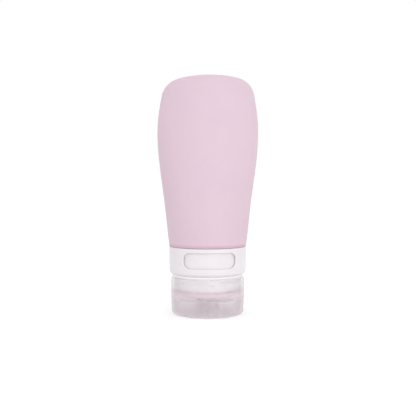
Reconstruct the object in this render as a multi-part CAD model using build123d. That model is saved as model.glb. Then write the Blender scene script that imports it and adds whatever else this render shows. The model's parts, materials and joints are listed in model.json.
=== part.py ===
from build123d import *

import os
from math import pi, radians, sin

# Lengths are in millimetres and angles in degrees. Heights run up from the foot of the closed flip lid,
# on which the bottle stands upside down. The label window is on the -Y side and the hinge near +Y.

# Flip lid
LID_HEIGHT = 8.5
LID_WALL = 1.4
LID_PLATE = 1.4
LID_DRAFT = 0.45
LID_RIM_SETBACK = 0.05
LID_RIM_ROUND = 0.15
LID_FOOT_ROUND = 2.2
PLUG_WALL = 0.9
PLUG_CLEARANCE = 0.15
PLUG_FACE_GAP = 0.1
PIP_RADIUS = 1.4
PIP_CLEARANCE = 0.4

# Living hinge across the parting line, and the flat pads that it joins
PARTING_GAP = 0.2
PAD_WIDTH = 11.0
PAD_HEIGHT = 3.0
PAD_PROUD = 0.1
PAD_CHAMFER = 0.6
PAD_SEAT_SHARE = 0.75
HINGE_WIDTH = 10.0
HINGE_HEIGHT = 3.4
HINGE_THICKNESS = 0.3
HINGE_MIDDLE_THICKNESS = 0.15

# Screw cap, turned a little past the front as a hand leaves it
CAP_CLOCKING = 13.0
CAP_HEIGHT = 10.5
CAP_WALL = 1.65
CAP_EDGE_INSET = 0.6
CAP_EDGE_RISE = 2.3
CAP_RIM_ROUND = 0.15
DECK_THICKNESS = 1.7
PLATEAU_DROP = 1.2
PLATEAU_SIDE_GAP = 2.6
PLATEAU_ROUND = 0.4
WELL_FLOOR = 1.5
WELL_SEAT = 0.4
RECESS_ANGLE = 53.0
RECESS_DEPTH = 1.1
RECESS_HEIGHT = 1.6
RECESS_ROUND = 0.8
BOSS_WALL = 1.2
BOSS_CATCH = 0.25

# Cross-slit valve and the snap ring that holds it in the cap's well
VALVE_HOLE_RADIUS = 4.9
VALVE_HOLE_GAP = 0.2
VALVE_WALL = 0.8
VALVE_PROUD = 0.9
VALVE_END_ROUND = 0.4
VALVE_DISH = 1.0
VALVE_MEMBRANE = 0.6
VALVE_FLANGE_RADIUS = 8.0
VALVE_FLANGE = 1.2
VALVE_SLIT_WIDTH = 0.15
VALVE_SLIT_LENGTH = 5.2
RETAINER_THICKNESS = 1.0
RETAINER_BORE_RADIUS = 5.6
RETAINER_WIDTH = 3.6
RETAINER_GAP = 0.1

# Sealing washer between the cap's deck and the neck's rim
WASHER_THICKNESS = 1.8
WASHER_FACE_GAP = 0.1
WASHER_SIDE_GAP = 0.3

# Neck insert: a plain-bored neck, a flange and a barbed spigot in one moulding
NECK_BORE_RADIUS = 13.2
NECK_WALL = 2.3
THREAD_ROOM = 1.5
FLANGE_THICKNESS = 1.0
FLANGE_GAP = 0.3
FLANGE_LIP = 0.45
FLANGE_ROUND = 0.2
RIM_ROUND = 0.5
SPIGOT_WALL = 1.5
SPIGOT_LENGTH = 12.8
SPIGOT_LEAD = 0.7
BARB_COUNT = 3
BARB_HEIGHT = 0.35
BARB_LENGTH = 1.6
BARB_PITCH = 2.9
BARB_START = 2.6

# Content-marking collar that turns on the label ring
COLLAR_HEIGHT = 14.0
COLLAR_WALL = 2.15
COLLAR_DRAFT = 0.25
COLLAR_FOOT_INSET = 1.2
COLLAR_FOOT_RISE = 1.15
COLLAR_TOP_BREAK = 0.3
COLLAR_FOOT_GAP = 0.1
COLLAR_RUNNING_GAP = 0.25
WINDOW_ANGLE = 80.0
WINDOW_HEIGHT = 7.8
WINDOW_CORNER = 3.0
WINDOW_BOTTOM = 4.0
WINDOW_EDGE_ROUND = 0.5
WINDOW_CLOCKING = 3.7
LABEL_RING_WALL = 1.1
LABEL_BAND_PROUD = 0.95
LABEL_BAND_MARGIN = 0.6

# Squeezable body
BODY_LENGTH = 86.3
BODY_SEAM = 0.3
BODY_WALL = 2.0
BODY_HALF_WIDTH = 25.6
BODY_HALF_DEPTH = 18.5
BODY_FOOT_SETBACK = 0.2
BODY_FOOT_ROUND = 0.8
BODY_CROWN_RADIUS = 74.0
BODY_CORNER_ROUND = 10.6
BODY_CORNER_LIMIT_SHARE = 0.86
BODY_SHOULDER = 2.0
SILICONE_NECK_WALL = 1.5
BEAD_HEIGHT = 1.2
BEAD_PROUD = 0.7
BEAD_GAP = 0.2

# Sections of the body: height along it, half width and half depth, as shares of the three sizes above
BODY_SECTION_SHARES = [
    (0.20, 0.840, 1.076),
    (0.43, 0.938, 1.054),
    (0.66, 1.000, 1.000),
    (0.84, 0.944, 0.914),
    (1.03, 0.820, 0.775),
]

OVERRUN = 1.0

# Heights that the pieces share, from the foot up
cap_foot = LID_HEIGHT + PARTING_GAP
cap_top = cap_foot + CAP_HEIGHT
deck_top = cap_foot + DECK_THICKNESS
plateau_face = cap_foot - PLATEAU_DROP
well_floor = plateau_face + WELL_FLOOR
valve_top = well_floor + VALVE_FLANGE
valve_foot = plateau_face - VALVE_PROUD
retainer_top = valve_top + RETAINER_THICKNESS
washer_foot = deck_top + WASHER_FACE_GAP
washer_top = washer_foot + WASHER_THICKNESS
neck_rim = washer_top + WASHER_FACE_GAP
flange_foot = cap_top + FLANGE_GAP
flange_top = flange_foot + FLANGE_THICKNESS
collar_foot = flange_top + COLLAR_FOOT_GAP
collar_top = collar_foot + COLLAR_HEIGHT
body_foot = collar_top + BODY_SEAM
body_top = body_foot + BODY_LENGTH
bead_foot = flange_top + BEAD_GAP
bead_top = bead_foot + BEAD_HEIGHT
window_foot = collar_foot + WINDOW_BOTTOM
window_top = window_foot + WINDOW_HEIGHT
hinge_height = LID_HEIGHT + PARTING_GAP / 2

# Radii that the pieces share, from the bore outwards
neck_radius = NECK_BORE_RADIUS + NECK_WALL
cap_bore = neck_radius + THREAD_ROOM
cap_radius = cap_bore + CAP_WALL
lid_rim_radius = cap_radius - LID_RIM_SETBACK
lid_foot_radius = lid_rim_radius - LID_DRAFT
plateau_radius = lid_rim_radius - LID_WALL - PLATEAU_SIDE_GAP
well_radius = NECK_BORE_RADIUS - WELL_SEAT
valve_radius = VALVE_HOLE_RADIUS - VALVE_HOLE_GAP
retainer_radius = RETAINER_BORE_RADIUS + RETAINER_WIDTH
boss_bore = retainer_radius + RETAINER_GAP
spigot_radius = NECK_BORE_RADIUS + SPIGOT_WALL
silicone_neck_radius = spigot_radius + SILICONE_NECK_WALL
label_ring_radius = silicone_neck_radius + LABEL_RING_WALL
collar_bore = label_ring_radius + COLLAR_RUNNING_GAP
collar_top_radius = collar_bore + COLLAR_WALL
collar_foot_radius = collar_top_radius - COLLAR_DRAFT
flange_radius = collar_bore + FLANGE_LIP
body_foot_radius = collar_top_radius - BODY_FOOT_SETBACK
pad_face = cap_radius + PAD_PROUD
hinge_radius = pad_face + HINGE_THICKNESS

# The crown's corners are round, within the room that the body's topmost section leaves them
_, top_width_share, top_depth_share = BODY_SECTION_SHARES[-1]
top_half_size = min(top_width_share * BODY_HALF_WIDTH, top_depth_share * BODY_HALF_DEPTH)
body_corner_round = min(BODY_CORNER_ROUND, BODY_CORNER_LIMIT_SHARE * top_half_size)


def turned(*edges):
    """A solid turned about Z from its half section, drawn as (radius, height)."""
    return revolve(Plane.XZ * make_face(edges), Axis.Z)


def ring(inner, outer, foot, top):
    """A plain ring about Z."""
    return turned(*Polyline((inner, foot), (outer, foot), (outer, top), (inner, top), close=True).edges())


def edge_at(part, radius, height):
    """The round edge of a turned solid at a radius and a height."""
    target = Vector(0, 0, height)
    circles = part.edges().filter_by(GeomType.CIRCLE)
    return min(circles, key=lambda e: abs(e.radius - radius) + (e.arc_center - target).length)


def clocked(part):
    """A piece of the cap, turned from the cap's own frame to where the cap stops on the neck."""
    return Rot(0, 0, CAP_CLOCKING) * part


def hinge_pad(foot, top, chamfer_side):
    """A flat pad at the back of a round wall, chamfered on the side away from the parting line."""
    depth = PAD_PROUD + CAP_WALL * PAD_SEAT_SHARE
    pad = Pos(0, pad_face - depth / 2, (foot + top) / 2) * Box(PAD_WIDTH, depth, top - foot)
    outer_edges = pad.edges().filter_by(Axis.X).group_by(Axis.Y)[-1].sort_by(Axis.Z)
    return chamfer(outer_edges[chamfer_side], PAD_CHAMFER)


def make_flip_lid():
    """The lid: a shallow cup with a plug ring round the valve and a pip that keeps its slit shut."""
    cup = turned(*Polyline(
        (0, 0), (lid_foot_radius, 0), (lid_rim_radius, LID_HEIGHT), (lid_rim_radius - LID_WALL, LID_HEIGHT),
        (lid_foot_radius - LID_WALL, LID_PLATE), (0, LID_PLATE), close=True,
    ).edges())
    cup = fillet(edge_at(cup, lid_rim_radius, LID_HEIGHT), LID_RIM_ROUND)
    cup = fillet(edge_at(cup, lid_foot_radius, 0), LID_FOOT_ROUND)
    cup = fillet(edge_at(cup, lid_foot_radius - LID_WALL, LID_PLATE), LID_FOOT_ROUND - LID_WALL)
    plug_bore = VALVE_HOLE_RADIUS + PLUG_CLEARANCE
    plug = ring(plug_bore, plug_bore + PLUG_WALL, LID_PLATE / 2, plateau_face - PLUG_FACE_GAP)
    pip_top = valve_foot + VALVE_DISH - PIP_CLEARANCE
    pip = Pos(0, 0, (LID_PLATE / 2 + pip_top) / 2) * Cylinder(PIP_RADIUS, pip_top - LID_PLATE / 2)
    pip = fillet(edge_at(pip, PIP_RADIUS, pip_top), PIP_RADIUS / 2)
    return clocked(cup + hinge_pad(LID_HEIGHT - PAD_HEIGHT, LID_HEIGHT, 0) + plug + pip)


def make_cap_base():
    """The screw cap: skirt, deck, plateau with the valve's well, thumb recess and hinge pad."""
    arc_foot = cap_top - CAP_EDGE_RISE
    edge_radius = cap_radius - CAP_EDGE_INSET
    wall = Polyline(
        (edge_radius, cap_top), (cap_bore, cap_top), (cap_bore, deck_top), (well_radius, deck_top),
        (well_radius, well_floor), (VALVE_HOLE_RADIUS, well_floor), (VALVE_HOLE_RADIUS, plateau_face),
        (plateau_radius, plateau_face), (plateau_radius, cap_foot), (cap_radius, cap_foot),
        (cap_radius, arc_foot),
    )
    arc_radius = (CAP_EDGE_INSET**2 + CAP_EDGE_RISE**2) / (2 * CAP_EDGE_INSET)
    edge = RadiusArc((edge_radius, cap_top), (cap_radius, arc_foot), arc_radius)
    cap = turned(*wall.edges(), edge)
    cap = fillet(edge_at(cap, plateau_radius, plateau_face), PLATEAU_ROUND)
    cap = fillet(edge_at(cap, cap_radius, cap_foot), CAP_RIM_ROUND)
    boss = ring(boss_bore, boss_bore + BOSS_WALL, well_floor - WELL_FLOOR / 2, retainer_top + BOSS_CATCH)
    return clocked(cap + boss + hinge_pad(cap_foot, cap_foot + PAD_HEIGHT, -1) - thumb_recess())


def thumb_recess():
    """The scoop in the cap's front edge that bares the lid's rim to a thumb."""
    inner = cap_radius - RECESS_DEPTH
    outer = cap_radius + OVERRUN
    foot = cap_foot - OVERRUN
    section = Polyline(
        (inner, foot), (outer, foot), (outer, cap_foot + RECESS_HEIGHT), (inner, cap_foot + RECESS_HEIGHT),
        close=True,
    )
    sector = revolve(Plane.XZ * make_face(section), Axis.Z, revolution_arc=RECESS_ANGLE)
    ends = sector.edges().filter_by(Axis.Z).sort_by(SortBy.DISTANCE)[:2]
    return Rot(0, 0, -90 - RECESS_ANGLE / 2) * fillet(ends, RECESS_ROUND)


def make_hinge_web():
    """The living hinge: a thin strip, thinner still at its bending line, which is on its outer face."""
    inner = pad_face
    outer = pad_face + HINGE_THICKNESS
    foot = hinge_height - HINGE_HEIGHT / 2
    top = hinge_height + HINGE_HEIGHT / 2
    groove = HINGE_THICKNESS - HINGE_MIDDLE_THICKNESS
    inner_curve = ThreePointArc(
        (inner, hinge_height - HINGE_HEIGHT / 4), (inner + groove, hinge_height),
        (inner, hinge_height + HINGE_HEIGHT / 4),
    )
    rest = Polyline(
        (inner, hinge_height + HINGE_HEIGHT / 4), (inner, top), (outer, top), (outer, foot), (inner, foot),
        (inner, hinge_height - HINGE_HEIGHT / 4),
    )
    section = Plane.YZ * make_face([inner_curve, *rest.edges()])
    return clocked(extrude(section, HINGE_WIDTH / 2, both=True))


def make_valve():
    """The silicone valve: a flange, a sleeve through the deck and a dished end with a cross slit."""
    bore = valve_radius - VALVE_WALL
    blank = turned(*Polyline(
        (0, valve_foot), (valve_radius, valve_foot), (valve_radius, well_floor),
        (VALVE_FLANGE_RADIUS, well_floor), (VALVE_FLANGE_RADIUS, valve_top), (0, valve_top), close=True,
    ).edges())
    blank = fillet(edge_at(blank, valve_radius, valve_foot), VALVE_END_ROUND)
    dish_radius = (bore**2 + VALVE_DISH**2) / (2 * VALVE_DISH)
    dish_centre = Pos(0, 0, valve_foot + VALVE_DISH - dish_radius)
    below = dish_centre * Sphere(dish_radius)
    above = Pos(0, 0, valve_top) * Cylinder(bore, 2 * (valve_top - valve_foot))
    above -= dish_centre * Sphere(dish_radius + VALVE_MEMBRANE)
    slit = Box(VALVE_SLIT_LENGTH, VALVE_SLIT_WIDTH, 2 * (VALVE_DISH + VALVE_MEMBRANE))
    cross = Pos(0, 0, valve_foot + VALVE_DISH) * (slit + Rot(0, 0, 90) * slit)
    return clocked(blank - above - below - cross)


def make_valve_retainer():
    """The snap ring over the valve's flange."""
    return ring(RETAINER_BORE_RADIUS, retainer_radius, valve_top, retainer_top)


def make_seal_washer():
    """The flat silicone washer that the neck's rim presses on the deck."""
    return ring(NECK_BORE_RADIUS, cap_bore - WASHER_SIDE_GAP, washer_foot, washer_top)


def make_neck_insert():
    """The neck with its rounded rim, the flange under the collar, and the barbed spigot."""
    spigot_top = flange_top + SPIGOT_LENGTH
    barbs = []
    for index in range(BARB_COUNT):
        foot = flange_top + BARB_START + index * BARB_PITCH
        barbs += [(spigot_radius, foot), (spigot_radius + BARB_HEIGHT, foot), (spigot_radius, foot + BARB_LENGTH)]
    insert = turned(*Polyline(
        (NECK_BORE_RADIUS, neck_rim), (neck_radius, neck_rim), (neck_radius, flange_foot),
        (flange_radius, flange_foot), (flange_radius, flange_top), (spigot_radius, flange_top), *barbs,
        (spigot_radius, spigot_top - SPIGOT_LEAD), (spigot_radius - SPIGOT_LEAD, spigot_top),
        (NECK_BORE_RADIUS, spigot_top), close=True,
    ).edges())
    insert = fillet(edge_at(insert, flange_radius, flange_foot), FLANGE_ROUND)
    return fillet(edge_at(insert, neck_radius, neck_rim), RIM_ROUND)


def label_band(radius):
    """The raised band that a round wall has behind the window, with sloping ends, from the foot up."""
    foot = window_foot - LABEL_BAND_MARGIN
    top = window_top + LABEL_BAND_MARGIN
    crest = radius + LABEL_BAND_PROUD
    return [(radius, foot - LABEL_BAND_PROUD), (crest, foot), (crest, top), (radius, top + LABEL_BAND_PROUD)]


def make_label_ring():
    """The ring behind the collar's window. Its raised band carries the label and holds the collar."""
    return turned(*Polyline(
        (silicone_neck_radius, bead_top), (label_ring_radius, bead_top), *label_band(label_ring_radius),
        (label_ring_radius, body_foot), (silicone_neck_radius, body_foot), close=True,
    ).edges())


def make_collar():
    """The collar with its sloping foot, the groove that turns on the ring's band, and the label window."""
    collar = turned(*Polyline(
        *reversed(label_band(collar_bore)),
        (collar_bore, collar_foot), (collar_foot_radius - COLLAR_FOOT_INSET, collar_foot),
        (collar_foot_radius, collar_foot + COLLAR_FOOT_RISE),
        (collar_top_radius, collar_top - COLLAR_TOP_BREAK), (collar_top_radius - COLLAR_TOP_BREAK, collar_top),
        (collar_bore, collar_top), close=True,
    ).edges())
    width = 2 * collar_top_radius * sin(radians(WINDOW_ANGLE / 2))
    outline = RectangleRounded(width, WINDOW_HEIGHT, WINDOW_CORNER)
    window = Pos(0, 0, (window_foot + window_top) / 2) * extrude(Plane.XZ * outline, collar_top_radius + OVERRUN)
    collar -= window
    window_rim = collar.faces().filter_by(GeomType.CONE).sort_by(SortBy.AREA)[-1].inner_wires()[0]
    return Rot(0, 0, WINDOW_CLOCKING) * fillet(window_rim.edges(), WINDOW_EDGE_ROUND)


def oval_form(inset, foot):
    """The body's outer form drawn in by an inset: ovals lofted upwards, under a crown with round corners."""
    ovals = [Pos(0, 0, foot) * Circle(body_foot_radius - inset)]
    for height_share, width_share, depth_share in BODY_SECTION_SHARES:
        half_width = width_share * BODY_HALF_WIDTH - inset
        half_depth = depth_share * BODY_HALF_DEPTH - inset
        ovals.append(Pos(0, 0, body_foot + height_share * BODY_LENGTH) * Ellipse(half_width, half_depth))
    tube = loft(ovals)
    crown = Pos(0, 0, body_top - BODY_CROWN_RADIUS) * Rot(90, 0, 0) * Sphere(BODY_CROWN_RADIUS - inset)
    form = tube & crown
    return fillet(form.faces().sort_by(Axis.Z)[-1].edges(), body_corner_round - inset)


def make_bottle_body(neck_insert):
    """The silicone body: an even wall round the cavity, a shoulder, and a beaded neck inside the collar."""
    outside = oval_form(0, body_foot)
    outside = fillet(outside.faces().sort_by(Axis.Z)[0].edges(), BODY_FOOT_ROUND)
    cavity = oval_form(BODY_WALL, body_foot + BODY_SHOULDER)
    neck = ring(0, silicone_neck_radius, bead_foot, body_foot + BODY_SHOULDER / 2)
    bead = ring(0, silicone_neck_radius + BEAD_PROUD, bead_foot, bead_top)
    bore = ring(0, spigot_radius, bead_foot - OVERRUN, body_foot + BODY_SHOULDER + OVERRUN)
    return outside + neck + bead - cavity - bore - neck_insert


def main():
    neck_insert = make_neck_insert()
    pieces = {
        "flip_lid": make_flip_lid(),
        "hinge_web": make_hinge_web(),
        "cap_base": make_cap_base(),
        "valve": make_valve(),
        "valve_retainer": make_valve_retainer(),
        "seal_washer": make_seal_washer(),
        "neck_insert": neck_insert,
        "label_ring": make_label_ring(),
        "collar": make_collar(),
        "bottle_body": make_bottle_body(neck_insert),
    }
    os.makedirs("parts", exist_ok=True)
    for name, piece in pieces.items():
        export_step(piece, f"parts/{name}.step")
    report_sizes()


def report_sizes():
    """Prints what the record states: the volume to the brim, the height and the lid's hinge line."""
    cubic_mm_per_ml = 1000
    cavity = oval_form(BODY_WALL, body_foot + BODY_SHOULDER)
    neck_length = body_foot + BODY_SHOULDER - washer_top
    neck_volume = pi * NECK_BORE_RADIUS**2 * neck_length
    hinge_line = clocked(Pos(0, hinge_radius, hinge_height)).position
    print(f"brim volume {(cavity.volume + neck_volume) / cubic_mm_per_ml:.1f} ml, height {body_top:.2f} mm")
    print(f"lid hinge line through ({hinge_line.X:.3f}, {hinge_line.Y:.3f}, {hinge_line.Z:.3f}) mm")


if __name__ == "__main__":
    main()
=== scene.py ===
import json
from math import atan2, cos, hypot, pi, radians, sin, sqrt, tau

import bmesh
import bpy
from bpy.props import FloatProperty, FloatVectorProperty, PointerProperty
from mathutils import Matrix, Vector, noise


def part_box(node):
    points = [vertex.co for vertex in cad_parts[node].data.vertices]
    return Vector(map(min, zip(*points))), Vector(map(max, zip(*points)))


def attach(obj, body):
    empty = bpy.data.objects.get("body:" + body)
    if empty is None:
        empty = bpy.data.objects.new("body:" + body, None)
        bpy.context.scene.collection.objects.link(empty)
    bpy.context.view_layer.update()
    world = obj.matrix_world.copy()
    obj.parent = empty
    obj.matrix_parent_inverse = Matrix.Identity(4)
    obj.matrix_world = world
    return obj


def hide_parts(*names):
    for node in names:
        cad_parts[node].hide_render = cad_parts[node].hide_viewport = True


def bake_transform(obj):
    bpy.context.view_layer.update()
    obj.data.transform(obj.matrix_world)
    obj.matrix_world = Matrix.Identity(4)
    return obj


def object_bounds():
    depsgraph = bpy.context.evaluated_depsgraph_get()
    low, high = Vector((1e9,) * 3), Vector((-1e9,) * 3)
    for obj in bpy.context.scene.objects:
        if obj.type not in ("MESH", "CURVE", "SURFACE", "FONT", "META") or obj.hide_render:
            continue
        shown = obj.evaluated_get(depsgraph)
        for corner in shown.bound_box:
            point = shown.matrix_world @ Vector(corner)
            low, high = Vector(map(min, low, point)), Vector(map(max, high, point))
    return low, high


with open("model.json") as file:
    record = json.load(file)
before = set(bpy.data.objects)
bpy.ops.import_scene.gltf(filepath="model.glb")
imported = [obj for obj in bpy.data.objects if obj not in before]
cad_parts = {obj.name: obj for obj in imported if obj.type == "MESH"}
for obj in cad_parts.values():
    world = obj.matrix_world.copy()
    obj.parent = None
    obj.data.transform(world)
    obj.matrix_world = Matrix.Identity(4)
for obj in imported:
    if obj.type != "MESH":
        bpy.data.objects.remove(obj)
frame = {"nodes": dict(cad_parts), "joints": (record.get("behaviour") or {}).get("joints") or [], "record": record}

bl_info = {
    "name": "Travel silicone bottle",
    "version": (1, 0, 0),
    "blender": (4, 5, 0),
    "location": "View3D > Sidebar > Bottle",
    "description": "Builds a squeezable travel bottle's soft parts and threads and gives every piece its finish",
    "category": "Object",
}

# Every length is in metres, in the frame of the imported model: +Z up the bottle's axis from the lid's foot.
cad_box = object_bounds()

MM = 0.001
# Points nearer to each other than this become one
MERGE = 1e-7
# An edge that bends by more stays sharp
SHARP_ANGLE = radians(38)
UP = Vector((0, 0, 1))
WHITE = (1, 1, 1)
FRONT = -pi / 2

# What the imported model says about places
ring_low, ring_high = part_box("label_ring")
neck_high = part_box("neck_insert")[1]
washer_low, washer_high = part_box("seal_washer")
valve_low, valve_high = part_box("valve")
web_low, web_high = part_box("hinge_web")
body_foot = ring_high.z
joints = {joint["name"]: joint for joint in frame["joints"]}
hinge_point = Vector(joints["lid_hinge"]["pos_m"])
hinge_axis = Vector(joints["lid_hinge"]["axis"])
thread_pitch = tau * frame["record"]["behaviour"]["couplings"][0]["ratio"]


def length(name, description, millimetres):
    """A length that a user may change, with its default in millimetres."""
    return FloatProperty(
        name=name, description=description, default=millimetres * MM, min=0, precision=5,
        subtype="DISTANCE", unit="LENGTH",
    )


def angle(name, description, degrees):
    """An angle that a user may change, with its default in degrees."""
    return FloatProperty(name=name, description=description, default=radians(degrees), subtype="ANGLE", unit="ROTATION")


def colour(name, description, red, green, blue):
    """A colour that a user may change, with its default as screen values from 0 to 255, by the sRGB curve."""
    linear = [((part / 255 + 0.055) / 1.055) ** 2.4 for part in (red, green, blue)]
    return FloatVectorProperty(name=name, description=description, default=linear, subtype="COLOR", min=0, max=1)


def share(name, description, default):
    """A share of one that a user may change."""
    return FloatProperty(name=name, description=description, default=default, min=0, max=1, subtype="FACTOR")


class BodySizes(bpy.types.PropertyGroup):
    """Sizes of the squeezable body"""

    body_length: length("Body length", "From the collar to the closed end", 86.3)
    half_width: length("Half width", "Half the greatest width", 25.6)
    half_depth: length("Half depth", "Half the depth where the body is widest", 18.5)
    foot_radius: length("Foot radius", "Radius of the round foot on the collar", 19.5)
    foot_round: length("Foot round", "Radius of the lip just above the collar", 0.08)
    lip_drop: length("Lip drop", "How far the soft lip sinks into the gap above the collar", 0.12)
    crown_radius: length("Crown radius", "Radius of the closed end's slow curve", 74)
    corner_round: length("Corner round", "Radius between the sides and the closed end", 10.6)
    wall: length("Wall", "Thickness of the silicone", 2.0)
    shoulder: length("Shoulder", "Thickness where the cavity meets the neck", 2.0)
    neck_radius: length("Neck radius", "Radius of the silicone neck inside the label ring", 16.2)
    neck_wall: length("Neck wall", "Thickness of that neck", 1.5)
    bead_proud: length("Bead", "How far the bead under the label ring stands out", 0.7)
    bead_height: length("Bead height", "Height of that bead", 1.2)
    bead_round: length("Bead round", "Radius of the bead's edges", 0.3)
    barb_height: length("Barb height", "How far the neck insert's barbs press into the silicone", 0.35)
    seam_height: length("Seam height", "How far the mould's parting line stands out", 0.05)
    seam_width: length("Seam width", "Half the width of the mould's parting line", 0.16)
    unevenness: length("Unevenness", "How far the soft wall wanders from its true form", 0.12)
    lean: angle("Lean", "How far the soft body leans to the right", 0.12)
    crown_tilt: angle("Crown tilt", "How far the closed end rises to the right", 0.8)


class ThreadSizes(bpy.types.PropertyGroup):
    """Sizes of the right-hand thread on the neck and in the cap"""

    neck_root: length("Neck root", "Radius of the neck's plain wall", 15.5)
    neck_crest: length("Neck crest", "Radius over the neck's thread", 16.5)
    cap_root: length("Cap root", "Radius of the cap's plain bore", 17.0)
    cap_crest: length("Cap crest", "Radius inside the cap's thread", 16.0)
    sink: length("Sink", "How deep a ridge's root lies in the wall", 0.08)
    root_width: length("Root width", "Height of the ridge at its root", 1.7)
    crest_width: length("Crest width", "Height of the ridge at its crest", 0.9)
    front_height: length("Front height", "Height at which the neck's thread crosses the front", 15.0)
    neck_start: length("Neck start", "Height where the neck's thread starts", 13.5)
    cap_start: length("Cap start", "Height where the cap's thread starts", 13.3)
    turns: FloatProperty(name="Turns", description="Turns of each thread", default=1.25, min=0.5, max=4)
    lead: FloatProperty(name="Lead", description="Turns over which a ridge's end fades", default=0.06, min=0.01, max=1)


class SealSizes(bpy.types.PropertyGroup):
    """Sizes of the washer and the valve"""

    washer_bore: length("Washer bore", "Radius of the washer's hole", 13.2)
    washer_round: length("Washer round", "Radius of the washer's edges", 0.3)
    rib_drop: length("Rib drop", "How far the washer's faces lie below its two sealing ribs", 0.12)
    valve_radius: length("Valve radius", "Radius of the valve's sleeve", 4.7)
    valve_wall: length("Valve wall", "Thickness of the sleeve", 0.8)
    flange: length("Flange", "Thickness of the valve's flange", 1.2)
    flange_round: length("Flange round", "Radius of the flange's edges", 0.25)
    dish: length("Dish", "Depth of the dished end", 1.0)
    membrane: length("Membrane", "Thickness of the dished end", 0.6)
    end_round: length("End round", "Radius of the sleeve's outer edge", 0.4)
    slit_width: length("Slit width", "Width of the cross slit", 0.15)
    slit_length: length("Slit length", "Length of each arm of the cross slit", 5.2)


class HingeSizes(bpy.types.PropertyGroup):
    """Sizes of the living hinge between cap and lid"""

    strip_width: length("Width", "Width of the strip along the hinge line", 10.0)
    thickness: length("Thickness", "Thickness of the strip's two ends", 0.3)
    middle: length("Middle", "Thickness at the bending line", 0.15)
    bend_height: length("Bend", "Height of the strip that takes the bend", 1.8)


class Finishes(bpy.types.PropertyGroup):
    """Colours of the silicones and the plastics"""

    body_pink: colour("Body", "The body's matt silicone", 228, 205, 217)
    body_deep: colour("Body, deeper", "Where the body's pigment lies thicker", 224, 199, 213)
    # Painted shade: a deeper pink on the lip just above the collar, where shade falls in the gap
    body_lip_shade: colour("Body, lip", "The body's lip just above the collar", 218, 181, 200)
    seal_pink: colour("Seals", "The washer and the valve", 241, 219, 231)
    seal_deep: colour("Seals, deeper", "Where the seals' pigment lies thicker", 237, 212, 225)
    white: colour("White", "The collar and the label ring", 241, 236, 240)
    white_flow: colour("White, flow", "Faint flow marks in the white plastic", 237, 231, 236)
    neck_white: colour("Neck", "The neck's white plastic, seen through the cap", 252, 250, 252)
    neck_flow: colour("Neck, flow", "Faint flow marks in the neck's plastic", 249, 245, 248)
    cap_milk: colour("Cap", "The cap's milky plastic", 254, 253, 254)
    cap_haze: colour("Cap, haze", "Where the cap's haze is denser", 249, 245, 248)
    lid_milk: colour("Lid", "The lid's milky plastic", 254, 249, 252)
    lid_haze: colour("Lid, haze", "Where the lid's haze is denser", 248, 242, 246)
    # Partly painted shade: the grey that the cap's and the lid's upright walls let through edge-on, partly the longer
    # path through the plastic
    edge_smoke_and_shade: colour("Edges", "What the cap's and the lid's walls let through edge-on", 223, 219, 222)
    # Painted light: the washer's pink as it would glow out through the deck, painted onto the cap's plastic, and how
    # much of it shows
    painted_washer_glow: colour("Blush", "The washer's pink where the deck carries it out to the wall", 240, 222, 233)
    painted_glow_share: share("Blush share", "How much of that pink shows", 0.3)
    cap_clearness: share("Cap clearness", "How much the cap's skin shows of what is behind it", 0.7)
    thread_clearness: share("Thread clearness", "The same for the thread inside the cap's wall", 0.82)
    lid_clearness: share("Lid clearness", "The same for the lid", 0.58)


class StageSizes(bpy.types.PropertyGroup):
    """The camera, the floor and the lights"""

    distance: length("Camera distance", "From the camera to the bottle's axis", 393)
    height: length("Camera height", "Above the floor", 68.3)
    sideways: length("Camera offset", "To the right of the bottle's axis", 0.2)
    pitch: angle("Pitch", "How far the camera looks down", 2.083)
    lens: FloatProperty(name="Lens", description="Focal length", default=66.6, unit="CAMERA")
    floor_size: length("Floor size", "Half the width of the floor", 3000)
    level: share("World level", "Brightness of the plain surroundings", 0.9)
    key_power: FloatProperty(name="Key power", description="Soft lamp near the camera", default=3.8, unit="POWER")
    fill_power: FloatProperty(name="Fill power", description="Soft lamp at the left", default=0.3, unit="POWER")


class BottleSettings(bpy.types.PropertyGroup):
    """Everything that a user may change"""

    body: PointerProperty(type=BodySizes)
    thread: PointerProperty(type=ThreadSizes)
    seal: PointerProperty(type=SealSizes)
    hinge: PointerProperty(type=HingeSizes)
    finish: PointerProperty(type=Finishes)
    stage: PointerProperty(type=StageSizes)


# Mesh helpers

def wrapped(rows, columns, place):
    """A grid wrapped into a form: place(row, column) says where each crossing goes. Its seam and poles close."""
    bm = bmesh.new()
    bmesh.ops.create_grid(bm, x_segments=columns, y_segments=rows, size=1)
    for vert in bm.verts:
        row = round((vert.co.y + 1) / 2 * rows)
        column = round((vert.co.x + 1) / 2 * columns)
        vert.co = place(row, column % columns)
    bmesh.ops.remove_doubles(bm, verts=bm.verts, dist=MERGE)
    return bm


def turned(outline, steps=128):
    """A piece turned about Z from its half section, (radius, height) points in a loop or from pole to pole."""
    bm = bmesh.new()
    verts = [bm.verts.new((radius, 0, height)) for radius, height in outline]
    edges = [bm.edges.new(pair) for pair in zip(verts, verts[1:])]
    if outline[0][0] > 0:
        edges.append(bm.edges.new((verts[-1], verts[0])))
    bmesh.ops.spin(bm, geom=verts + edges, cent=(0, 0, 0), axis=UP, angle=tau, steps=steps, use_merge=True)
    bmesh.ops.remove_doubles(bm, verts=bm.verts, dist=MERGE)
    bmesh.ops.dissolve_degenerate(bm, edges=bm.edges, dist=MERGE)
    return bm


def arc(centre, radius, start, end, count=4):
    """Points on a round in a half section, from one angle to another, in degrees from straight out."""
    turns = [radians(start + (end - start) * step / count) for step in range(count + 1)]
    return [(centre[0] + radius * cos(turn), centre[1] + radius * sin(turn)) for turn in turns]


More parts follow.
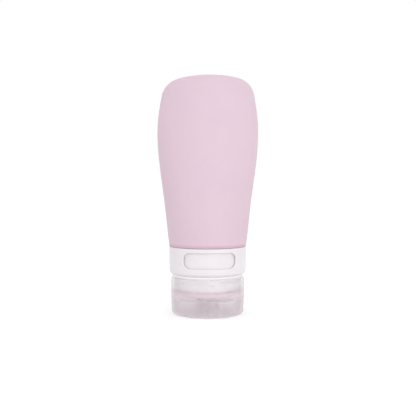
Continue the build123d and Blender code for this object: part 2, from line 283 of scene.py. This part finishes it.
def new_piece(name, bm, finish):
    """An object from a finished bmesh: faces outwards, smooth, with its true edges kept sharp."""
    bmesh.ops.recalc_face_normals(bm, faces=bm.faces)
    for face in bm.faces:
        face.smooth = True
    mesh = bpy.data.meshes.new(name)
    bm.to_mesh(mesh)
    bm.free()
    mesh.set_sharp_from_angle(angle=SHARP_ANGLE)
    mesh.materials.append(finish)
    piece = bpy.data.objects.new(name, mesh)
    bpy.context.scene.collection.objects.link(piece)
    return piece


def cut_away(piece, cutters):
    """Cuts each of the bmeshes out of a piece and keeps the result as its mesh."""
    tools = []
    for bm in cutters:
        mesh = bpy.data.meshes.new("cutter")
        bm.to_mesh(mesh)
        bm.free()
        tools.append(bpy.data.objects.new("cutter", mesh))
        bpy.context.scene.collection.objects.link(tools[-1])
        cut = piece.modifiers.new("cut", "BOOLEAN")
        cut.operation, cut.solver, cut.object = "DIFFERENCE", "EXACT", tools[-1]
    whole = piece.evaluated_get(bpy.context.evaluated_depsgraph_get())
    result = bpy.data.meshes.new_from_object(whole)
    piece.modifiers.clear()
    piece.data = result
    for tool in tools:
        bpy.data.objects.remove(tool)


# Finishes

class Value:
    """One output of a node. Sums written with it add Math nodes."""

    def __init__(self, finish, socket):
        self.finish, self.socket = finish, socket

    def worked(self, operation, first, second):
        """A Math node on two values."""
        return self.finish.node("ShaderNodeMath", {"operation": operation}, {0: first, 1: second})

    def __add__(self, other):
        return self.worked("ADD", self, other)

    def __sub__(self, other):
        return self.worked("SUBTRACT", self, other)

    def __rsub__(self, other):
        return self.worked("SUBTRACT", other, self)

    def __mul__(self, other):
        return self.worked("MULTIPLY", self, other)

    def __pow__(self, other):
        return self.worked("POWER", self, other)

    __radd__ = __add__
    __rmul__ = __mul__


class Finish:
    """The node tree of a material or of the world, in the making."""

    def __init__(self, owner):
        owner.use_nodes = True
        self.owner = owner
        self.nodes, self.links = owner.node_tree.nodes, owner.node_tree.links
        self.nodes.clear()

    def node(self, kind, settings, sockets, output=0):
        """Adds a node, its settings first and then the values or links of its sockets, and gives one output."""
        made = self.nodes.new(kind)
        for name, value in settings.items():
            setattr(made, name, value)
        for key, value in sockets.items():
            if isinstance(value, Value):
                self.links.new(value.socket, made.inputs[key])
            elif made.inputs[key].type == "RGBA":
                made.inputs[key].default_value = (*value, 1)
            else:
                made.inputs[key].default_value = value
        return None if output is None else Value(self, made.outputs[output])

    def place(self):
        """The point of the piece, in metres."""
        return self.node("ShaderNodeTexCoord", {}, {}, "Object")

    def height(self):
        """The point's height above the lid's foot, in metres."""
        return self.node("ShaderNodeSeparateXYZ", {}, {0: self.place()}, "Z")

    def noise(self, scale, detail=2, stretch=(1, 1, 1)):
        """Smooth noise from 0 to 1 through the piece, with scale waves to the metre."""
        place = self.node("ShaderNodeMapping", {}, {"Vector": self.place(), "Scale": stretch})
        return self.node("ShaderNodeTexNoise", {}, {"Vector": place, "Scale": scale, "Detail": detail})

    def mixed(self, amount, first, second):
        """A colour between two others, by the Mix node's colour sockets 6 and 7 and its colour output 2."""
        settings = {"data_type": "RGBA", "clamp_factor": True}
        return self.node("ShaderNodeMix", settings, {0: amount, 6: first, 7: second}, 2)

    def blended(self, amount, first, second):
        """A shader between two others."""
        return self.node("ShaderNodeMixShader", {}, {0: amount, 1: first, 2: second})

    def bump(self, height, depth, strength):
        """The surface's fine relief, depth metres deep."""
        return self.node("ShaderNodeBump", {}, {"Height": height, "Distance": depth, "Strength": strength})

    def surfaced(self, shader, output="ShaderNodeOutputMaterial", **others):
        """Ends the tree with a shader and gives the material or world."""
        self.node(output, {}, {"Surface": shader, **others}, None)
        return self.owner


def varied(noise, middle, spread):
    """A number round a middle, as far apart as the spread where the noise goes from 0 to 1."""
    return noise * spread + (middle - spread / 2)


# Waves to the metre of the patterns in each finish
CLOUDS, SMUDGES, SILICONE_GRAIN = 50, 130, 2400
FLOW, SHEEN, SATIN_GRAIN = 60, 220, 3200
HAZE, RUBBING, FROST_GRAIN = 90, 260, 2800
# How strongly two colours part in a pattern: over 1, some of the surface has one colour or the other alone
CLOUD_CONTRAST, FLOW_CONTRAST, HAZE_CONTRAST = 1.6, 1.8, 1.6
# Middle roughness of each finish, and how far apart its smoothest and roughest places are
BODY_ROUGHNESS, SEAL_ROUGHNESS, SATIN_ROUGHNESS = 0.56, 0.5, 0.35
FROST_ROUGHNESS, GLOSS_ROUGHNESS, PAINTED_GLOW_ROUGHNESS = 0.26, 0.21, 0.4
SMUDGE_SPREAD, SHEEN_SPREAD, RUBBED_SPREAD = 0.16, 0.14, 0.12
# Depth and strength of the grain
SILICONE_RELIEF, PLASTIC_RELIEF = (0.05 * MM, 0.35), (0.03 * MM, 0.25)
SILICONE_IOR, PLASTIC_IOR = 1.42, 1.49
# How far the painted shade's deeper pink on the lip goes up and down
LIP_SHADE_FADE = 1.6 * MM


def silicone(name, light, deep, roughness, lip=None):
    """Matt silicone: faint clouds of pigment, a soft glow inside, a fine moulded grain and, where given, painted shade
    on a lip.
    """
    finish = Finish(bpy.data.materials.new(name))
    pigment = finish.mixed(varied(finish.noise(CLOUDS, 3), 0.5, CLOUD_CONTRAST), light, deep)
    if lip is not None:
        # Painted shade: the lip's deeper pink, strongest at the body's foot and fading up and down
        rise = (finish.height() - body_foot) * (1 / LIP_SHADE_FADE)
        pigment = finish.mixed(1 - rise * rise, pigment, lip)
    shader = finish.node("ShaderNodeBsdfPrincipled", {}, {
        "Base Color": pigment,
        "Roughness": varied(finish.noise(SMUDGES, 4), roughness, SMUDGE_SPREAD),
        "IOR": SILICONE_IOR,
        "Specular IOR Level": 0.45,
        "Subsurface Weight": 0.2,
        "Subsurface Radius": (1.0, 0.55, 0.65),
        "Subsurface Scale": 1.2 * MM,
        "Normal": finish.bump(finish.noise(SILICONE_GRAIN, 3), *SILICONE_RELIEF),
    })
    return finish.surfaced(shader)


def body_silicone(name, colours):
    """The body's silicone, with painted shade on its lip above the collar."""
    return silicone(name, colours.body_pink, colours.body_deep, BODY_ROUGHNESS, colours.body_lip_shade)


def seal_silicone(name, colours):
    """The silicone of the washer and the valve."""
    return silicone(name, colours.seal_pink, colours.seal_deep, SEAL_ROUGHNESS)


def satin_plastic(name, light, deep):
    """Satin moulding: faint flow marks round the axis, a fine grain and a slightly uneven sheen."""
    finish = Finish(bpy.data.materials.new(name))
    flow = finish.noise(FLOW, 3, stretch=(1, 1, 3))
    shader = finish.node("ShaderNodeBsdfPrincipled", {}, {
        "Base Color": finish.mixed(varied(flow, 0.5, FLOW_CONTRAST), light, deep),
        "Roughness": varied(finish.noise(SHEEN, 3), SATIN_ROUGHNESS, SHEEN_SPREAD),
        "IOR": PLASTIC_IOR,
        "Subsurface Weight": 0.1,
        "Subsurface Radius": (1.0, 0.9, 0.9),
        "Subsurface Scale": 0.8 * MM,
        "Normal": finish.bump(finish.noise(SATIN_GRAIN, 2), *PLASTIC_RELIEF),
    })
    return finish.surfaced(shader)


def white_plastic(name, colours):
    """The white plastic of the collar and the label ring."""
    return satin_plastic(name, colours.white, colours.white_flow)


def neck_plastic(name, colours):
    """The neck's plastic."""
    return satin_plastic(name, colours.neck_white, colours.neck_flow)


# Shares in the frosted plastic: of the milk that is lit from behind, of the haze that varies from place to place,
# and of the clearness that goes where a wall is seen edge-on
LIT_FROM_BEHIND = 0.8
HAZE_SPREAD = 0.2
EDGE_DENSITY = 0.6
# Its gloss face on, and what is added to that edge-on
GLOSS = 0.04
EDGE_GLOSS = 0.12
# How far the painted glow of the washer's pink goes up and down
PAINTED_GLOW_REACH = 2.2 * MM


def frosted_plastic(name, colours, milk, haze_colour, clearness, painted_glow_share=0):
    """Frosted clear moulding: haze that lights up from behind, denser edge-on with a grey there on upright walls that
    is partly the longer path and partly painted shade, under a rubbed gloss.

    Where a painted glow share is given, the washer's pink is painted round the deck as light glowing out of it.
    """
    finish = Finish(bpy.data.materials.new(name))
    haze = finish.noise(HAZE, 3)
    rubbed = finish.noise(RUBBING, 4, stretch=(1, 1, 2.5))
    grain = finish.bump(finish.noise(FROST_GRAIN, 2), *PLASTIC_RELIEF)
    edge_on = finish.node("ShaderNodeLayerWeight", {}, {"Blend": 0.5}, "Facing")
    skin = finish.node("ShaderNodeBsdfPrincipled", {}, {
        "Base Color": finish.mixed(varied(haze, 0.5, HAZE_CONTRAST), milk, haze_colour),
        "Roughness": varied(rubbed, FROST_ROUGHNESS, RUBBED_SPREAD),
        "IOR": PLASTIC_IOR,
        "Normal": grain,
    })
    glow = finish.node("ShaderNodeBsdfTranslucent", {}, {"Color": milk})
    faces = finish.node("ShaderNodeNewGeometry", {}, {}, "Normal")
    upwards = finish.node("ShaderNodeSeparateXYZ", {}, {0: faces}, "Z")
    # Edge-on, the upright walls let through a grey: partly the longer path through the plastic, partly painted shade at
    # the sides
    clear = finish.blended(
        edge_on**3 * (1 - upwards * upwards),
        finish.node("ShaderNodeBsdfTransparent", {}, {"Color": WHITE}),
        finish.node("ShaderNodeBsdfTransparent", {}, {"Color": colours.edge_smoke_and_shade}),
    )
    gloss = finish.node("ShaderNodeBsdfAnisotropic", {}, {
        "Color": WHITE, "Roughness": varied(rubbed, GLOSS_ROUGHNESS, RUBBED_SPREAD), "Normal": grain,
    })
    seen_through = varied(haze, clearness, -HAZE_SPREAD) * (1 - edge_on**3 * EDGE_DENSITY)
    film = finish.blended(seen_through, finish.blended(LIT_FROM_BEHIND, skin, glow), clear)
    if painted_glow_share:
        # Painted light: the washer's pink, fading up and down from the washer's foot, as if glowing out through the
        # deck
        off = (finish.height() - washer_low.z) * (1 / PAINTED_GLOW_REACH)
        pink = finish.node("ShaderNodeBsdfPrincipled", {}, {
            "Base Color": colours.painted_washer_glow, "Roughness": PAINTED_GLOW_ROUGHNESS, "Normal": grain,
        })
        film = finish.blended(painted_glow_share - off * off * painted_glow_share, film, pink)
    return finish.surfaced(finish.blended(edge_on**4 * EDGE_GLOSS + GLOSS, film, gloss))


def cap_plastic(name, colours):
    """The cap's frosted plastic, with a painted glow of the washer's pink at its deck."""
    milk, haze = colours.cap_milk, colours.cap_haze
    return frosted_plastic(name, colours, milk, haze, colours.cap_clearness, colours.painted_glow_share)


def thread_plastic(name, colours):
    """The same plastic for the thread, whose ridge lies against the cap's wall and adds little haze."""
    return frosted_plastic(name, colours, colours.cap_milk, colours.cap_haze, colours.thread_clearness)


def lid_plastic(name, colours):
    """The lid's frosted plastic."""
    return frosted_plastic(name, colours, colours.lid_milk, colours.lid_haze, colours.lid_clearness)


FINISHES = {
    "matt_body": body_silicone,
    "matt_seal": seal_silicone,
    "satin_white": white_plastic,
    "satin_neck": neck_plastic,
    "frosted_cap": cap_plastic,
    "frosted_thread": thread_plastic,
    "frosted_lid": lid_plastic,
}


def finish_named(name):
    """The material of that name, made the first time that it is asked for."""
    return bpy.data.materials.get(name) or FINISHES[name](name, bpy.context.scene.bottle.finish)


# Squeezable body

# Sections of the body: height along it, half width and half depth, as shares of its three sizes
SECTION_SHARES = (
    (0.20, 0.840, 1.076), (0.43, 0.938, 1.054), (0.66, 1.000, 1.000), (0.84, 0.944, 0.914), (1.03, 0.820, 0.775),
)
COLUMNS = 144
# Rows of faces up the lip, the side, the corner and the crown
OUTER_ROWS = (6, 60, 24, 16)
INNER_ROWS = (0, 26, 12, 8)
# Steps in the search for a corner's place, and the step in height that measures a slope
HALVINGS = 40
SLOPE_STEP = 0.01 * MM
# The closed end's tilt grows with this power of the height
TILT_POWER = 4
# Length of the unevenness's waves, how far up the collar holds the wall true, and how near to the pole the
# parting line fades out
WAVE = 26 * MM
HELD_BY_COLLAR = 8 * MM
POLE_FADE = 4 * MM
# How far the neck insert's flange lies below its top, how far above the flange each barb's sharp edge stands, and
# the height of a barb's slope and of its step
FLANGE_TOP_DROP = 12.8 * MM
BARB_STARTS = (2.6 * MM, 5.5 * MM, 8.4 * MM)
BARB_LENGTH = 1.6 * MM
BARB_STEP = 0.01 * MM


def smooth_through(points, height):
    """The value at a height on the smooth curve through (height, value) points."""
    total = 0
    for at, value in points:
        for other, _ in points:
            if other != at:
                value *= (height - other) / (at - other)
        total += value
    return total


class Skin:
    """The body's form, drawn in by an inset: ovals up its side, under a crown with round corners."""

    def __init__(self, sizes, inset, foot):
        self.corner = sizes.corner_round - inset
        self.crown = sizes.crown_radius - inset
        self.foot = foot
        self.top = body_foot + sizes.body_length - inset
        self.centre = UP * (self.top - self.crown)
        heights = [foot] + [body_foot + at * sizes.body_length for at, _, _ in SECTION_SHARES]
        widths = [sizes.foot_radius] + [wide * sizes.half_width for _, wide, _ in SECTION_SHARES]
        depths = [sizes.foot_radius] + [deep * sizes.half_depth for _, _, deep in SECTION_SHARES]
        self.widths = [(height, value - inset) for height, value in zip(heights, widths)]
        self.depths = [(height, value - inset) for height, value in zip(heights, depths)]

    def side(self, turn, height):
        """The point of the side at a turn and a height, and the way that it faces there."""
        wide, deep = smooth_through(self.widths, height), smooth_through(self.depths, height)
        wider = (smooth_through(self.widths, height + SLOPE_STEP) - wide) / SLOPE_STEP
        deeper = (smooth_through(self.depths, height + SLOPE_STEP) - deep) / SLOPE_STEP
        across, along = cos(turn), sin(turn)
        faces = Vector((deep * across, wide * along, -deep * wider * across**2 - wide * deeper * along**2))
        return Vector((wide * across, deep * along, height)), faces.normalized()

    def corner_ball(self, turn):
        """Where a ball of the corner's radius, rolled round inside, touches both the side and the crown."""
        low, high = self.foot, self.top
        for _ in range(HALVINGS):
            height = (low + high) / 2
            point, faces = self.side(turn, height)
            reach = point - self.corner * faces - self.centre
            if reach.length < self.crown - self.corner:
                low = height
            else:
                high = height
        return height, faces, reach.normalized()

    def meridian(self, turn, rows, foot_round=0):
        """One line of the skin from its foot to its pole: a round lip, the side, the corner and the crown."""
        lip_rows, side_rows, corner_rows, crown_rows = rows
        touch, faces, crown_faces = self.corner_ball(turn)
        line = []
        start = self.foot + foot_round
        if foot_round:
            start += foot_round * self.side(turn, start)[1].z
            point, lip_faces = self.side(turn, start)
            ball = point - foot_round * lip_faces
            line = [ball + foot_round * (-UP).slerp(lip_faces, row / lip_rows) for row in range(lip_rows)]
        line += [self.side(turn, start + (touch - start) * row / side_rows)[0] for row in range(side_rows)]
        ball = self.side(turn, touch)[0] - self.corner * faces
        line += [ball + self.corner * faces.slerp(crown_faces, row / corner_rows) for row in range(corner_rows)]
        edge = self.crown * crown_faces
        for row in range(crown_rows + 1):
            flat = Vector((edge.x, edge.y, 0)) * (1 - row / crown_rows)
            line.append(self.centre + flat + UP * sqrt(self.crown**2 - flat.length_squared))
        return line


def neck_outline(sizes):
    """The silicone neck: down its bore, over the barbs, round the bead, up outside and out over the label ring."""
    bore = sizes.neck_radius - sizes.neck_wall
    flange_top = neck_high.z - FLANGE_TOP_DROP
    bead_top = ring_low.z
    bead_foot = bead_top - sizes.bead_height
    bead = sizes.neck_radius + sizes.bead_proud
    edge = sizes.bead_round
    outline = [(bore, body_foot + sizes.shoulder)]
    for start in reversed(BARB_STARTS):
        foot = flange_top + start
        outline += [(bore, foot + BARB_LENGTH), (bore + sizes.barb_height, foot), (bore, foot - BARB_STEP)]
    outline += [(bore, bead_foot)]
    outline += arc((bead - edge, bead_foot + edge), edge, -90, 0)
    outline += arc((bead - edge, bead_top - edge), edge, 0, 90)
    outline += [(sizes.neck_radius, bead_top), (sizes.neck_radius, body_foot), (ring_high.x, body_foot)]
    return outline


def softened(point, sizes, spine_top, seam_share):
    """A point of the outer skin, moved a hair along the way it faces: the slow unevenness and the parting line."""
    rise = min(max(point.z, body_foot), spine_top)
    faces = (point - UP * rise).normalized()
    free = min(1, max(0, point.z - body_foot) / HELD_BY_COLLAR)
    wander = noise.noise(point / WAVE) * sizes.unevenness * free
    seam = sizes.seam_height * seam_share * free * min(1, hypot(point.x, point.y) / POLE_FADE)
    return point + faces * (wander + seam)


def leaning(point, sizes):
    """A point of the soft body, moved as it sits: a hair to the right, with its closed end a little askew."""
    rise = max(0, point.z - body_foot)
    askew = sizes.crown_tilt * (rise / sizes.body_length) ** TILT_POWER
    return Vector((point.x + sizes.lean * rise, point.y, point.z + point.x * askew))


def body_line(sizes, inner, outer, turn, beside):
    """One line of the body's skin from the inner pole to the outer one.

    On the parting line beside is 0, next to it -1 or 1, and elsewhere None.
    """
    neck = [Vector((radius * cos(turn), radius * sin(turn), height)) for radius, height in neck_outline(sizes)]
    outside = outer.meridian(turn, OUTER_ROWS, sizes.foot_round)
    seam_share = 1 if beside == 0 else 0
    spine_top = outer.top - outer.corner
    outside = [softened(point, sizes, spine_top, seam_share) for point in outside]
    line = inner.meridian(turn, INNER_ROWS)[::-1] + neck + outside
    if beside:
        across = Vector((-sin(turn), cos(turn), 0)) * beside
        gap = tau / COLUMNS / 2
        line = [point + across * min(sizes.seam_width, hypot(point.x, point.y) * gap) for point in line]
    return [leaning(point, sizes) for point in line]


def make_body(settings):
    """The squeezable body, one closed skin from the cavity's pole through the neck to the outer pole."""
    sizes = settings.body
    inner = Skin(sizes, sizes.wall, body_foot + sizes.shoulder)
    outer = Skin(sizes, 0, body_foot - sizes.lip_drop)
    lines = []
    for step in range(COLUMNS):
        turn = tau * step / COLUMNS
        on_seam = step % (COLUMNS // 2) == 0
        besides = (-1, 0, 1) if on_seam else (None,)
        lines += [body_line(sizes, inner, outer, turn, beside) for beside in besides]
    bm = wrapped(len(lines[0]) - 1, len(lines), lambda row, column: lines[column][row])
    piece = new_piece("silicone_body", bm, finish_named("matt_body"))
    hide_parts("bottle_body")
    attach(piece, "bottle")


# Threads

THREAD_STEPS = 150
# Where the chamfer along a ridge's two edges starts, as a share of its height and of its crest
RIDGE_CHAMFER_SHARE = 0.8


def ridge(sizes, root, crest, start, front):
    """A right-hand ridge round a wall, with ends that fade into it. It crosses the front at a height."""
    root_half, crest_half = sizes.root_width / 2, sizes.crest_width / 2
    flank = crest_half + (root_half - crest_half) * (1 - RIDGE_CHAMFER_SHARE)
    section = (
        (0, -root_half), (RIDGE_CHAMFER_SHARE, -flank), (1, -crest_half * RIDGE_CHAMFER_SHARE),
        (1, crest_half * RIDGE_CHAMFER_SHARE), (RIDGE_CHAMFER_SHARE, flank), (0, root_half),
    )
    outwards = 1 if crest > root else -1
    buried = root - outwards * sizes.sink

    def place(row, column):
        along = row / THREAD_STEPS
        size = min(1, along * sizes.turns / sizes.lead, (1 - along) * sizes.turns / sizes.lead)
        out, across = section[column]
        radius = buried + (crest - buried) * out * size
        middle = start + thread_pitch * sizes.turns * along
        turn = FRONT + tau * (middle - front) / thread_pitch
        return Vector((radius * cos(turn), radius * sin(turn), middle + across * size))

    return wrapped(THREAD_STEPS, len(section), place)


def make_threads(settings):
    """The thread round the neck and the one in the cap, half a pitch apart."""
    sizes = settings.thread
    neck = ridge(sizes, sizes.neck_root, sizes.neck_crest, sizes.neck_start, sizes.front_height)
    piece = new_piece("neck_thread", neck, finish_named("satin_neck"))
    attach(piece, "bottle")
    cap = ridge(sizes, sizes.cap_root, sizes.cap_crest, sizes.cap_start, sizes.front_height + thread_pitch / 2)
    piece = new_piece("cap_thread", cap, finish_named("frosted_thread"))
    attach(piece, "cap")


# Seals

DISH_STEPS = 10
VALVE_STEPS = 96


def washer_outline(sizes):
    """The washer's half section: rounded edges, and faces that drop a hair between two sealing ribs."""
    inner, outer = sizes.washer_bore, washer_high.x
    foot, top, edge = washer_low.z, washer_high.z, sizes.washer_round
    hollow = (outer - inner) / 3
    drop = sizes.rib_drop
    outline = arc((outer - edge, foot + edge), edge, -90, 0) + arc((outer - edge, top - edge), edge, 0, 90)
    outline += [(outer - hollow, top - drop), (inner + hollow, top - drop)]
    outline += arc((inner + edge, top - edge), edge, 90, 180) + arc((inner + edge, foot + edge), edge, 180, 270)
    outline += [(inner + hollow, foot + drop), (outer - hollow, foot + drop)]
    return outline


def valve_outline(sizes):
    """The valve's half section from pole to pole: dished end, sleeve, flange and the dish's inner face."""
    foot, top = valve_low.z, valve_high.z
    bore = sizes.valve_radius - sizes.valve_wall
    dish_radius = (bore**2 + sizes.dish**2) / (2 * sizes.dish)
    centre = foot + sizes.dish - dish_radius
    inner_radius = dish_radius + sizes.membrane
    radii = [bore * step / DISH_STEPS for step in range(DISH_STEPS + 1)]
    under = [(radius, centre + sqrt(dish_radius**2 - radius**2)) for radius in radii]
    over = [(radius, centre + sqrt(inner_radius**2 - radius**2)) for radius in reversed(radii)]
    seat = top - sizes.flange
    edge, rim = sizes.end_round, sizes.flange_round
    outline = under + arc((sizes.valve_radius - edge, foot + edge), edge, -90, 0)
    outline += [(sizes.valve_radius, seat)]
    outline += arc((valve_high.x - rim, seat + rim), rim, -90, 0) + arc((valve_high.x - rim, top - rim), rim, 0, 90)
    outline += [(bore, top)] + over
    return outline


def slit_cutter(sizes, turn):
    """A thin upright box through the valve's end, along one arm of its cross slit."""
    bm = bmesh.new()
    bmesh.ops.create_cube(bm, size=1)
    height = sizes.dish + sizes.membrane
    bmesh.ops.scale(bm, vec=(sizes.slit_length, sizes.slit_width, 2 * height), verts=bm.verts)
    clocking = atan2(hinge_axis.y, hinge_axis.x)
    bmesh.ops.rotate(bm, cent=(0, 0, 0), matrix=Matrix.Rotation(clocking + turn, 3, "Z"), verts=bm.verts)
    bmesh.ops.translate(bm, vec=(0, 0, valve_low.z + height / 2), verts=bm.verts)
    return bm


def make_seals(settings):
    """The washer and the cross-slit valve."""
    sizes = settings.seal
    finish = finish_named("matt_seal")
    washer = new_piece("washer", turned(washer_outline(sizes)), finish)
    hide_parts("seal_washer")
    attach(washer, "seal")
    valve = new_piece("cross_slit_valve", turned(valve_outline(sizes), VALVE_STEPS), finish)
    cut_away(valve, [slit_cutter(sizes, 0), slit_cutter(sizes, pi / 2)])
    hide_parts("valve")
    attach(valve, "cap")


# Living hinge

STRIP_ROWS = 60


def make_hinge(settings):
    """The living hinge, a thin strip that is thinner still where it bends, from the cap's pad to the lid's."""
    sizes = settings.hinge
    outwards = Vector((hinge_point.x, hinge_point.y, 0))
    outer = outwards.length
    outwards.normalize()
    quarter = (web_high.z - web_low.z) / 4
    corners = ((-1, 0), (1, 0), (1, 1), (-1, 1))

    def place(row, column):
        height = web_low.z + (web_high.z - web_low.z) * row / STRIP_ROWS
        # A quarter of the strip at each end has its full thickness, and from there it thins smoothly to its middle
        spread = min(1, abs(height - hinge_point.z) / quarter)
        thickness = sizes.middle + (sizes.thickness - sizes.middle) * spread * spread * (3 - 2 * spread)
        side, inwards = corners[column]
        return (outwards * (outer - inwards * thickness) + hinge_axis * side * sizes.strip_width / 2
                + UP * height)

    bm = wrapped(STRIP_ROWS, len(corners), place)
    bmesh.ops.holes_fill(bm, edges=bm.edges, sides=len(corners))
    piece = new_piece("living_hinge", bm, finish_named("frosted_cap"))
    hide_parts("hinge_web")
    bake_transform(piece)


# Plastic mouldings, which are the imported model's own pieces

PLASTIC_NODES = {
    "neck_insert": "satin_neck",
    "label_ring": "satin_white",
    "collar": "satin_white",
    "valve_retainer": "frosted_cap",
    "cap_base": "frosted_cap",
    "flip_lid": "frosted_lid",
}


def finish_plastics():
    """Gives each plastic moulding its finish."""
    for name, finish in PLASTIC_NODES.items():
        for material_slot in frame["nodes"][name].material_slots:
            material_slot.material = finish_named(finish)


# Stage

LAMP_SIZE = 0.7
LAMP_DISTANCE = 1.2
# Where the lamps stand, in degrees to the right of the front and above the bottle's middle
KEY_SIDE, FILL_SIDE, LAMP_RISE = 20, -50, 6
FLOOR_GAP = 0.03 * MM
FLOOR_WHITE = (0.85, 0.85, 0.85)
FLOOR_GLOW = 0.3
CLIP_START = 10 * MM


def seen_rays(finish):
    """One where a ray shows the surroundings, straight, in a reflection or through a clear piece."""
    seen = 0
    for ray in ("Is Camera Ray", "Is Glossy Ray", "Is Transmission Ray"):
        seen = finish.node("ShaderNodeLightPath", {}, {}, ray) + seen
    return finish.node("ShaderNodeMath", {"operation": "MINIMUM"}, {0: seen, 1: 1})


def make_world(sizes):
    """Plain white surroundings that light the bottle at the world level and show as white."""
    finish = Finish(bpy.data.worlds.new("studio"))
    strength = seen_rays(finish) * (1 - sizes.level) + sizes.level
    shader = finish.node("ShaderNodeBackground", {}, {"Color": WHITE, "Strength": strength})
    bpy.context.scene.world = finish.surfaced(shader, "ShaderNodeOutputWorld")


def make_floor(sizes):
    """A plain pale floor a hair below the lid's foot, which keeps the bottle's shadow."""
    finish = Finish(bpy.data.materials.new("floor_white"))
    matt = finish.node("ShaderNodeBsdfDiffuse", {}, {"Color": FLOOR_WHITE})
    strength = seen_rays(finish) * FLOOR_GLOW
    glow = finish.node("ShaderNodeEmission", {}, {"Color": WHITE, "Strength": strength})
    material = finish.surfaced(finish.node("ShaderNodeAddShader", {}, {0: matt, 1: glow}))
    bm = bmesh.new()
    bmesh.ops.create_grid(bm, x_segments=1, y_segments=1, size=sizes.floor_size)
    bmesh.ops.translate(bm, vec=(0, 0, -FLOOR_GAP), verts=bm.verts)
    mesh = bpy.data.meshes.new("floor")
    bm.to_mesh(mesh)
    bm.free()
    mesh.materials.append(material)
    floor = bpy.data.objects.new("floor", mesh)
    bpy.context.scene.collection.objects.link(floor)


def soft_lamp(name, power, right, up):
    """A square lamp that faces the bottle's middle, so many degrees to the right of the front and up."""
    lamp = bpy.data.lights.new(name, "AREA")
    lamp.energy, lamp.size = power, LAMP_SIZE
    holder = bpy.data.objects.new(name, lamp)
    side, rise = radians(right), radians(up)
    towards = Vector((sin(side) * cos(rise), -cos(side) * cos(rise), sin(rise)))
    holder.location = (cad_box[0] + cad_box[1]) / 2 + towards * LAMP_DISTANCE
    holder.rotation_euler = (-towards).to_track_quat("-Z", "Y").to_euler()
    bpy.context.scene.collection.objects.link(holder)


def make_camera(sizes):
    """The camera at the photograph's viewing angle."""
    camera = bpy.data.objects.new("camera", bpy.data.cameras.new("camera"))
    camera.data.lens = sizes.lens
    camera.data.clip_start = CLIP_START
    camera.location = (sizes.sideways, -sizes.distance, sizes.height)
    camera.rotation_euler = (pi / 2 - sizes.pitch, 0, 0)
    bpy.context.scene.collection.objects.link(camera)
    bpy.context.scene.camera = camera


def make_stage(settings):
    """The surroundings, the floor, the lamps and the camera."""
    sizes = settings.stage
    bpy.context.scene.view_settings.view_transform = "Standard"
    make_world(sizes)
    make_floor(sizes)
    soft_lamp("key", sizes.key_power, KEY_SIDE, LAMP_RISE)
    soft_lamp("fill", sizes.fill_power, FILL_SIDE, LAMP_RISE)
    make_camera(sizes)


class BOTTLE_OT_body(bpy.types.Operator):
    """Build the squeezable body with its wall, cavity, shoulder and beaded neck"""

    bl_idname = "bottle.body"
    bl_label = "Squeezable body"

    def execute(self, context):
        make_body(context.scene.bottle)
        return {"FINISHED"}


class BOTTLE_OT_threads(bpy.types.Operator):
    """Build the thread round the neck and the one in the cap"""

    bl_idname = "bottle.threads"
    bl_label = "Threads"

    def execute(self, context):
        make_threads(context.scene.bottle)
        return {"FINISHED"}


class BOTTLE_OT_seals(bpy.types.Operator):
    """Build the sealing washer and the cross-slit valve"""

    bl_idname = "bottle.seals"
    bl_label = "Washer and valve"

    def execute(self, context):
        make_seals(context.scene.bottle)
        return {"FINISHED"}


class BOTTLE_OT_hinge(bpy.types.Operator):
    """Build the living hinge between cap and lid, a strip thinnest at its middle"""

    bl_idname = "bottle.hinge"
    bl_label = "Living hinge"

    def execute(self, context):
        make_hinge(context.scene.bottle)
        return {"FINISHED"}


class BOTTLE_OT_plastics(bpy.types.Operator):
    """Give the collar, the neck, the cap and the lid their finishes"""

    bl_idname = "bottle.plastics"
    bl_label = "Plastic mouldings"

    def execute(self, context):
        finish_plastics()
        return {"FINISHED"}


class BOTTLE_OT_stage(bpy.types.Operator):
    """Set up the surroundings, the floor, the lamps and the camera"""

    bl_idname = "bottle.stage"
    bl_label = "Stage"

    def execute(self, context):
        make_stage(context.scene.bottle)
        return {"FINISHED"}


OPERATORS = (
    BOTTLE_OT_body, BOTTLE_OT_threads, BOTTLE_OT_seals, BOTTLE_OT_hinge, BOTTLE_OT_plastics, BOTTLE_OT_stage,
)
SIZE_GROUPS = (BodySizes, ThreadSizes, SealSizes, HingeSizes, Finishes, StageSizes)


class BOTTLE_PT_sidebar(bpy.types.Panel):
    """The bottle's steps and sizes in the 3D view's sidebar"""

    bl_label = "Travel bottle"
    bl_idname = "BOTTLE_PT_sidebar"
    bl_space_type = "VIEW_3D"
    bl_region_type = "UI"
    bl_category = "Bottle"

    def draw(self, context):
        for step in OPERATORS:
            self.layout.operator(step.bl_idname)
        settings = context.scene.bottle
        for group in (settings.body, settings.thread, settings.seal, settings.hinge, settings.finish, settings.stage):
            box = self.layout.box()
            for name in group.__annotations__:
                box.prop(group, name)


CLASSES = (*SIZE_GROUPS, BottleSettings, *OPERATORS, BOTTLE_PT_sidebar)


def register():
    """Registers every class and hangs the bottle's settings on the scene."""
    for each in CLASSES:
        bpy.utils.register_class(each)
    bpy.types.Scene.bottle = PointerProperty(type=BottleSettings)


def unregister():
    """Takes the settings and the classes away again."""
    del bpy.types.Scene.bottle
    for each in reversed(CLASSES):
        bpy.utils.unregister_class(each)


def main():
    """Builds the bottle, step by step."""
    register()
    bpy.ops.bottle.body()
    bpy.ops.bottle.threads()
    bpy.ops.bottle.seals()
    bpy.ops.bottle.hinge()
    bpy.ops.bottle.plastics()
    bpy.ops.bottle.stage()


if __name__ == "__main__":
    main()
